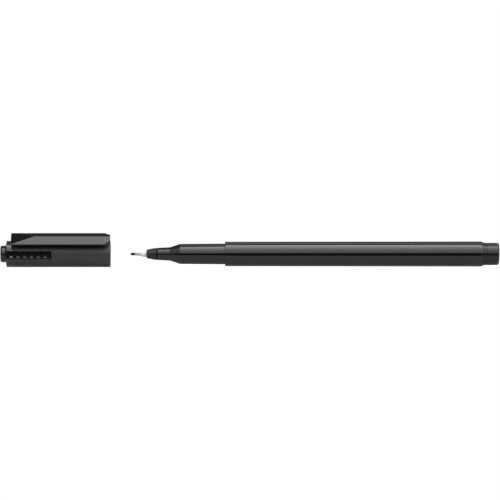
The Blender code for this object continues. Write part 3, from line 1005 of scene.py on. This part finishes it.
@dataclass(frozen=True)
class CapShell:
    """The satin sleeve: a ledge inside, and two side windows that open to the closed end."""

    end: CapEnd
    rim: float = 0.25 * MM
    ledge_radius: float = 3.37 * MM
    ledge_foot: float = 19.6 * MM
    ledge_end: float = 20.4 * MM
    tongue_rows: int = 24
    angle_step: float = math.radians(3.5)
    edge: float = 0.1 * MM
    edge_from: float = math.radians(50)

    def sleeve(self) -> Array:
        """Draw the outline from the window's foot, down the outside, round the rim and up.

        Returns:
            Points of (distance, radius).
        """
        end = self.end
        corners = [
            (end.window_foot, end.radius, 0),
            (0, end.radius, self.rim),
            (0, end.bore, self.rim),
            (self.ledge_foot, end.bore, 0),
            (self.ledge_foot, self.ledge_radius, 0),
            (self.ledge_end, self.ledge_radius, 0),
            (self.ledge_end, end.bore, 0),
            (end.window_foot, end.bore, 0),
        ]
        return rounded(corners, False, guards=False)

    def angles(self) -> Tuple[Array, Array]:
        """Space the grid's columns evenly between the windows' edges.

        Returns:
            The columns' angles, and whether each column's cells lie in a window.
        """
        low, high = self.end.window_from, self.end.window_to
        stops = [-low, low, high, 2 * np.pi - high, 2 * np.pi - low]
        runs = [
            np.linspace(first, last, round((last - first) / self.angle_step), endpoint=False)
            for first, last in zip(stops, stops[1:])
        ]
        cut = np.concatenate([np.full(len(run), place % 2 == 1) for place, run in enumerate(runs)])
        return np.concatenate(runs), cut

    def build(self, axis: Axis, finish: Finish) -> None:
        """Turn the sleeve as a closed grid, leave the windows' cells out and wall their edges.

        Rows run from the outer end to the mouth and back up the bore to the inner end. In the
        tongues beside the windows, each outer row has an inner row across the wall from it.

        Args:
            axis: the cap's axis.
            finish: its finish.
        """
        end = self.end
        share = np.linspace(1, 0, self.tongue_rows)[:-1]
        foot = end.window_foot
        outer, inner = (
            np.stack([foot + (end.face(radius) - foot) * share, np.full_like(share, radius)], 1)
            for radius in (end.radius, end.bore)
        )
        outline = np.vstack([outer, self.sleeve(), inner[::-1]])
        angles, cut = self.angles()
        rows, columns = len(outline), len(angles)
        points = axis.round(outline[:, :1], outline[:, 1:], angles[None, :])
        cells = quads(rows, columns, True)
        tongue = len(outer)
        in_tongue = np.zeros(rows, bool)
        in_tongue[:tongue] = True
        in_tongue[rows - tongue - 1:] = True
        kept = cells[~(in_tongue[:, None] & cut[None, :])]
        column = np.flatnonzero(cut)
        beside = (column + 1) % columns
        outside, inside = tongue * columns, (rows - tongue - 1) * columns
        sill = np.stack([outside + column, outside + beside, inside + beside, inside + column], 1)
        edges = np.flatnonzero(cut != np.roll(cut, 1))
        row = np.arange(tongue)
        across = rows - 1 - row
        jamb = np.stack([row, row + 1, across - 1, across], 1) * columns + edges[:, None, None]
        faces = np.vstack([kept, sill, jamb.reshape(-1, 4)]).tolist()
        piece = new_piece("cap_sleeve", points, faces, finish)
        soften(piece, self.edge, self.edge_from)
        seat(piece, Body.CAP, "cap_shell", "cap_shell")


@dataclass(frozen=True)
class GripRibs:
    """Rows of low ribs on the shell's sides, each with a sloping tooth that enters a window."""

    end: CapEnd
    count: int = 6
    first: float = 35.74 * MM
    pitch: float = 2.43 * MM
    width: float = 1.4 * MM
    height: float = 0.08 * MM
    tooth_foot: float = math.radians(62)
    tooth_crest: float = math.radians(70.5)
    tooth_dip: float = math.radians(78)
    tooth_end: float = math.radians(83)
    dip_depth: float = 0.42 * MM
    rise: float = math.radians(87)
    fall: float = math.radians(109)
    stop: float = math.radians(117)
    bend: float = 0.3 * MM
    sink: float = 0.1 * MM
    roundness: float = 4.0
    blunt: float = 0.9999
    profile_step: float = 0.12 * MM
    stations: int = 17

    def build(self, axis: Axis, finish: Finish, tooth_finish: Finish) -> None:
        """Draw both profiles as (arc length, radius) corners, and carry each across its ribs.

        Args:
            axis: the cap's axis.
            finish: the ribs' finish.
            tooth_finish: the teeth's finish.
        """
        outside, top = self.end.radius, self.end.radius + self.height
        dip, buried = outside - self.dip_depth, outside - self.sink
        teeth = [
            (outside * self.tooth_foot, self.end.bore, 0),
            (outside * self.tooth_crest, top, self.bend),
            (outside * self.tooth_dip, dip, 0),
            (outside * self.tooth_end, dip, 0),
        ]
        ribs = [
            (outside * self.tooth_end, buried, 0),
            (outside * self.rise, top, self.bend),
            (outside * self.fall, top, self.bend),
            (outside * self.stop, buried, 0),
        ]
        self.carry("cap_grip_ribs", axis, ribs, buried - self.sink, finish)
        self.carry("cap_rib_teeth", axis, teeth, self.end.bore - self.sink, tooth_finish)

    def carry(
        self, name: str, axis: Axis, corners: Sequence[Corner], under: float, finish: Finish
    ) -> None:
        """Carry a profile across each rib, at (1 - |u|^n)^(1/n) of its height for u from -1 to 1.

        Args:
            name: the piece's name.
            axis: the cap's axis.
            corners: (arc length, radius, fillet) of each corner along a rib.
            under: the radius of the ribs' undersides.
            finish: their finish.
        """
        line = spread(rounded(corners, False), self.profile_step)
        angle, height = line[:, 0] / self.end.radius, line[:, 1] - under
        across = self.blunt * np.sin(np.linspace(-np.pi / 2, np.pi / 2, self.stations))
        share = (1 - np.abs(across) ** self.roundness) ** (1 / self.roundness)
        upper = under + share[:, None] * height
        loop = np.concatenate([upper, np.full_like(upper, under)], 1)
        turn = np.concatenate([angle, angle[::-1]])
        middle = self.first - self.pitch * np.arange(self.count)
        distance = (middle[:, None] + across * self.width / 2)[None, :, :, None]
        both = np.array([1, -1])[:, None, None, None] * turn
        columns = len(turn)
        shape = (2, self.count, self.stations, columns)
        points = axis.round(np.broadcast_to(distance, shape), np.broadcast_to(loop, shape), both)
        skin = quads(self.stations, columns, False).reshape(-1, 4)
        starts = np.arange(2 * self.count) * self.stations * columns
        faces = (starts[:, None, None] + skin).reshape(-1, 4).tolist()
        ends = np.stack([np.arange(columns), np.arange(columns) + (self.stations - 1) * columns])
        faces += (starts[:, None, None] + ends).reshape(-1, columns).tolist()
        seat(new_piece(name, points, faces, finish), Body.CAP, "cap_shell")


@dataclass(frozen=True)
class InnerCap:
    """The sealing sleeve: a domed stub at the closed end, and a flat that shows in each window."""

    end: CapEnd
    radius: float = 3.87 * MM
    bore: float = 2.54 * MM
    mouth: float = 20.5 * MM
    stub_foot: float = 38.04 * MM
    stub_end: float = 39.93 * MM
    stub_dome: float = 0.12 * MM
    stub_fillet: float = 0.65 * MM
    floor: float = 38.6 * MM
    rim: float = 0.08 * MM
    flat_middle: float = math.radians(57)
    flat_distance: float = 3.6 * MM
    flat_runout: float = 0.5 * MM
    flat_limit: float = 1.2

    def flats(self, distance: Array, radius: Array, angle: Array) -> Array:
        """Plane both sides off: at an angle a from a flat's middle, all ends at flat / cos(a).

        Args:
            distance: how far along each point lies.
            radius: its radius on the round sleeve.
            angle: its angle.

        Returns:
            How far it stands out, less than 0 where a flat cuts it.
        """
        turn = np.abs(np.abs((angle + np.pi) % (2 * np.pi) - np.pi) - self.flat_middle)
        reach = self.flat_distance / np.cos(np.minimum(turn, self.flat_limit))
        share = smooth_step(1 + (distance - self.end.window_foot) / self.flat_runout)
        return np.minimum(reach - radius, 0) * share

    def build(self, axis: Axis, finish: Finish) -> None:
        """Turn the sleeve from the stub's dome round to the floor of its blind bore.

        Args:
            axis: the cap's axis.
            finish: its finish.
        """
        corners = [
            (self.stub_end, 0, 0),
            (self.stub_end - self.stub_dome, self.end.stub_radius, self.stub_fillet),
            (self.stub_foot, self.end.stub_radius, self.rim),
            (self.end.face(self.radius), self.radius, self.rim),
            (self.mouth, self.radius, self.rim),
            (self.mouth, self.bore, self.rim),
            (self.floor, self.bore, self.rim),
            (self.floor, 0, 0),
        ]
        outline = spread(rounded(corners, False), self.flat_runout / 2)
        piece = turned("sealing_sleeve", axis, outline, finish, self.flats)
        seat(piece, Body.CAP, "inner_cap", "inner_cap")


@dataclass(frozen=True)
class PocketClip:
    """The clip: a hip-roofed bar with cut tip corners, a root post and a grip bead underneath."""

    end: CapEnd
    underside: float = 6.36 * MM
    ridge: float = 7.9 * MM
    ridge_rise: float = 1.09 * MM
    half_width: float = 3.52 * MM
    tip: float = 0.05 * MM
    tip_cut: float = 1.8 * MM
    tip_cut_length: float = 2.1 * MM
    rear: float = 35.9 * MM
    hip_length: float = 8.5 * MM
    hip_drop: float = 1.04 * MM
    edge: float = 0.1 * MM
    edge_from: float = math.radians(12)
    edge_steps: int = 4
    post_rear: float = 35.6 * MM
    post_length: float = 5.2 * MM
    post_half_width: float = 1.1 * MM
    post_corner: float = 4.0
    post_flare: float = 0.3 * MM
    flare_power: int = 4
    post_rows: int = 25
    post_columns: int = 72
    sink: float = 0.12 * MM
    bead_radius: float = 0.9 * MM
    bead_length: float = 3.2 * MM
    bead_from_tip: float = 3.65 * MM
    bead_round: float = 0.95

    def build_arm(self, axis: Axis, finish: Finish) -> None:
        """Carry a six-cornered roof section along four stations, and close its ends.

        The roof falls from the ridge by ridge_rise over the half width; at the hip the ridge opens
        into a flat that falls by hip_drop over hip_length.

        Args:
            axis: the cap's axis.
            finish: its finish.
        """
        cut, hip = self.tip + self.tip_cut_length, self.rear - self.hip_length
        along = np.array([self.tip, cut, hip, self.rear])
        half = np.array([self.half_width - self.tip_cut] + [self.half_width] * 3)
        drop = np.array([0, 0, 0, self.hip_drop])
        flat = drop * self.half_width / self.ridge_rise
        eave = self.ridge - self.ridge_rise * half / self.half_width
        sideways = np.stack([-half, -half, -flat, flat, half, half], 1)
        floor = np.full_like(along, self.underside)
        outward = np.stack([floor, eave, self.ridge - drop, self.ridge - drop, eave, floor], 1)
        stations, sides = outward.shape
        points = axis.flat(np.repeat(along[:, None], sides, 1), outward, sideways).reshape(-1, 3)
        unique, number = np.unique(points.round(MERGE_DIGITS), axis=0, return_inverse=True)
        faces = closed_grid(stations, sides)
        merged = [list(dict.fromkeys(number.ravel()[face].tolist())) for face in faces]
        piece = new_piece("clip_bar", unique, [face for face in merged if len(face) > 2], finish)
        soften(piece, self.edge, self.edge_from, self.edge_steps)
        seat(piece, Body.CLIP, "pocket_clip", "pocket_clip")

    def build_post(self, axis: Axis, finish: Finish) -> None:
        """Loft the root post from the shell's curve up to the bar's underside.

        Round it, a point lies at half width sgn(cos) |cos|^(2 / n) and half length sgn(sin)
        |sin|^(2 / n), widened at both ends; upwards, it runs from the shell's circle to the bar.

        Args:
            axis: the cap's axis.
            finish: its finish.
        """
        up = np.linspace(0, 1, self.post_rows)[:, None]
        turn = (np.arange(self.post_columns) * 2 * np.pi / self.post_columns)[None, :]
        flare = self.post_flare * np.abs(2 * up - 1) ** self.flare_power
        power = 2 / self.post_corner
        waves = np.cos(turn), np.sin(turn)
        wide, long = (np.sign(wave) * np.abs(wave) ** power for wave in waves)
        across = wide * (self.post_half_width + flare)
        middle = self.post_rear - self.post_length / 2
        distance = middle + long * (self.post_length / 2 - self.post_flare + flare)
        foot = np.sqrt((self.end.radius - self.sink) ** 2 - across ** 2)
        outward = foot + up * (self.underside + self.sink - foot)
        points = axis.flat(distance, outward, across).reshape(-1, 3)
        faces = closed_grid(self.post_rows, self.post_columns)
        piece = new_piece("clip_root", points, faces, finish)
        spot = np.array([middle])
        low = axis.flat(spot, np.array([self.end.radius + self.sink]), np.zeros(1))[0]
        high = axis.flat(spot, np.array([self.underside - self.sink]), np.zeros(1))[0]
        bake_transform(piece)
        LOG.info("%s bends between cap and clip, %d faces", piece.name, len(piece.data.polygons))

    def build_bead(self, axis: Axis, finish: Finish) -> None:
        """Turn a round-ended bead about a line across the bar's underside.

        Args:
            axis: the cap's axis.
            finish: its finish.
        """
        place = np.array([self.tip + self.bead_from_tip])
        start = axis.flat(place, np.array([self.underside]), np.array([-self.bead_length / 2]))[0]
        across = Axis(start, axis.side, axis.out, axis.along)
        corners = [
            (0, 0, 0),
            (0, self.bead_radius, self.bead_round * self.bead_radius),
            (self.bead_length, self.bead_radius, self.bead_round * self.bead_radius),
            (self.bead_length, 0, 0),
        ]
        seat(turned("clip_bead", across, rounded(corners, False), finish), Body.CLIP, "pocket_clip")


@dataclass(frozen=True)
class Studio:
    """White floor and backdrop, an overhead light that fades towards the front, and the camera."""

    distance: float = 2.4
    field: float = 0.1808
    sensor: float = 36.0
    above_axis: float = 1.45 * MM
    right_of_middle: float = 0.1 * MM
    floor_size: float = 40.0
    floor_front: float = 19.5 * MM
    floor_colour: Colour = (0.36, 0.36, 0.36)
    floor_lift: float = 0.6
    floor_gloss_lift: float = 0.36
    overhead_low: float = 2.05
    overhead_top: float = 5.5
    overhead_rise: float = math.radians(75)
    overhead_limit: float = 1.2
    fade: float = 2.2
    flag: Span = (math.radians(2), math.radians(15))
    edge_over_cap: float = math.radians(81)
    edge_over_barrel: float = math.radians(90.5)
    edge_turn: Span = (-0.03, -0.012)
    edge_blur: float = math.radians(4)
    width_left: float = 0.3
    width_right: float = 0.75
    width_turn: Span = (0.0, 0.07)
    tent: float = 1.3
    tent_back: float = 0.7
    tent_sides: Span = (0.2, 0.5)
    back_over_cap: float = 0.03
    back_over_barrel: float = 0.28
    strip: float = 1.1
    strip_from: Span = (math.radians(7), math.radians(16))
    strip_to: Span = (math.radians(30), math.radians(42))
    backdrop_depth: Span = (0.9, 0.95)
    backdrop_height: Span = (0.1, 0.16)

    def make_camera(self, axis: Axis) -> None:
        """Look along +Y at the marker's axis, from the photograph's distance.

        Args:
            axis: the pen's axis.
        """
        data = bpy.data.cameras.new("camera")
        data.sensor_width = self.sensor
        data.lens = self.sensor * self.distance / self.field
        camera = bpy.data.objects.new("camera", data)
        place = axis.start + np.array([0, -self.distance, self.above_axis])
        camera.location = (self.right_of_middle, place[1], place[2])
        camera.rotation_euler = (math.pi / 2, 0, 0)
        bpy.context.scene.collection.objects.link(camera)
        bpy.context.scene.camera = camera

    def make_floor(self, axis: Axis, height: float) -> None:
        """Lay a white sheet that ends in front of the marker, whose gloss shows that edge as dark.

        The sheet is lifted to white for the eye, and the marker's shadow lies on its paint.

        Args:
            axis: the pen's axis.
            height: how high the sheet lies.
        """
        half, front = self.floor_size / 2, axis.start[1] - self.floor_front
        plan = [(-half, front), (half, front), (half, half), (-half, half)]
        corners = [(across, depth, height) for across, depth in plan]
        mesh = bpy.data.meshes.new("floor")
        mesh.from_pydata(corners, [], [(0, 1, 2, 3)])
        material = bpy.data.materials.new("floor_white")
        material.use_nodes = True
        graph = Graph(material.node_tree)
        seen, glossy, through = graph.rays()
        strength = seen * self.floor_lift + (glossy + through) * self.floor_gloss_lift
        lift = graph.add("ShaderNodeEmission", None, {"Strength": strength})
        paint = graph.add("ShaderNodeBsdfDiffuse", None, {"Color": self.floor_colour})
        both = graph.add("ShaderNodeAddShader", None, {0: paint.outputs[0], 1: lift.outputs[0]})
        graph.add("ShaderNodeOutputMaterial", None, {"Surface": both.outputs[0]})
        mesh.materials.append(material)
        floor = bpy.data.objects.new("floor", mesh)
        bpy.context.scene.collection.objects.link(floor)
        floor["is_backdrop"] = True

    def make_world(self) -> None:
        """Light the object from a world of soft panels, by the direction's rise round the X axis.

        The rise is 0 towards the camera, a quarter turn overhead and a half turn behind. The
        overhead panel brightens as a power of the rise, falls off to the sides as a bell, faster on
        the left, and ends sooner over the cap than over the barrel. Over the barrel a dim strip
        follows behind it. A flag hides the camera, and a pale tent closes the sides.
        """
        world = bpy.data.worlds.new("studio")
        world.use_nodes = True
        graph = Graph(world.node_tree)
        across, depth, height = graph.split(graph.coordinates("Generated"))
        rise = graph.maths("ARCTAN2", height, -depth)
        share = graph.maths("MAXIMUM", rise, 0.0) / self.overhead_rise
        share = graph.maths("MINIMUM", share, self.overhead_limit)
        widening = (self.width_right - self.width_left) * across.smooth(*self.width_turn)
        width = self.width_left + widening
        bell = graph.maths("EXPONENT", -((across / width) ** 2.0))
        over_barrel = across.smooth(*self.edge_turn)
        edge = self.edge_over_cap + (self.edge_over_barrel - self.edge_over_cap) * over_barrel
        behind_edge = rise - edge
        past = behind_edge.smooth(-self.edge_blur, self.edge_blur)
        panel = (self.overhead_low + self.overhead_top * share ** self.fade) * bell * (1 - past)
        tent = self.tent * abs(across).smooth(*self.tent_sides) * (1 - self.tent_back * past)
        strip = self.strip * behind_edge.smooth(*self.strip_from)
        strip = strip * (1 - behind_edge.smooth(*self.strip_to))
        lit = self.back_over_barrel - self.back_over_cap + strip
        back = (self.back_over_cap + lit * over_barrel) * past
        strength = (panel + tent + back) * rise.smooth(*self.flag)
        light = graph.add("ShaderNodeBackground", None, {"Strength": strength}).outputs[0]
        backdrop = {"Color": (1.0, 1.0, 1.0), "Strength": 1.0}
        white = graph.add("ShaderNodeBackground", None, backdrop).outputs[0]
        seen, glossy, through = graph.rays()
        behind = depth.smooth(*self.backdrop_depth) * (1 - height.smooth(*self.backdrop_height))
        share = graph.maths("MINIMUM", seen + through + glossy * behind, 1.0)
        both = graph.add("ShaderNodeMixShader", None, {0: share, 1: light, 2: white})
        graph.add("ShaderNodeOutputWorld", None, {"Surface": both.outputs[0]})
        bpy.context.scene.world = world


def pen_axis() -> Axis:
    """Find the pen's axis: from the end plug's flat end towards the nib.

    Returns:
        The axis.
    """
    low, high = (np.array(corner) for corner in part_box("barrel"))
    middle = (low + high) / 2
    start = np.array([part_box("end_plug")[1].x, middle[1], middle[2]])
    return Axis(start, np.array([-1.0, 0, 0]), np.array([0, 0, 1.0]), np.array([0, -1.0, 0]))


def cap_axis() -> Axis:
    """Find the cap's axis: from its mouth to its closed end, with the clip outwards.

    The clip's hinge lies across the clip, so it gives the side direction.

    Returns:
        The axis.
    """
    low, high = (np.array(corner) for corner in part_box("cap_shell"))
    middle = (low + high) / 2
    along = np.array([-1.0, 0, 0])
    axes = {joint["name"]: joint["axis"] for joint in frame["joints"]}
    side = np.array(axes["clip_flex"])
    return Axis(np.array([high[0], middle[1], middle[2]]), along, np.cross(along, side), side)


def main() -> None:
    """Build the marker's pieces in order, then the studio around them."""
    logging.basicConfig(level=logging.INFO, format="%(message)s")
    bpy.context.scene.view_settings.view_transform = "Standard"
    pen, cap = pen_axis(), cap_axis()
    barrel, tip, end = Barrel(), Tip(), CapEnd()
    clip = PocketClip(end)
    neck = pen.places(barrel.neck_foot, barrel.cone_foot)
    polish = cap.places(*end.polish)
    barrel.build(pen, replace(BARREL_GLOSS, zone=neck))
    EndPlug().build(pen, PLUG_GLOSS)
    tip.build_holder(pen, HOLDER_SATIN)
    tip.build_seam_shade(pen, SEAM_SHADE)
    tip.build_nib(pen, replace(NIB_FIBRE, tip=pen.places(tip.nib_end)[0]))
    Reservoir().build(pen, ROD_FIBRE, SLEEVE_FILM)
    CapShell(end).build(cap, replace(CAP_SATIN, zone=polish))
    GripRibs(end).build(cap, replace(RIB_SATIN, zone=polish), replace(TOOTH_SATIN, zone=polish))
    InnerCap(end).build(cap, SLEEVE_GLOSS)
    clip.build_arm(cap, CLIP_SATIN)
    clip.build_post(cap, CLIP_SATIN)
    clip.build_bead(cap, CLIP_SATIN)
    studio = Studio()
    studio.make_camera(pen)
    studio.make_floor(pen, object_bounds()[0].z)
    studio.make_world()


if __name__ == "__main__":
    main()
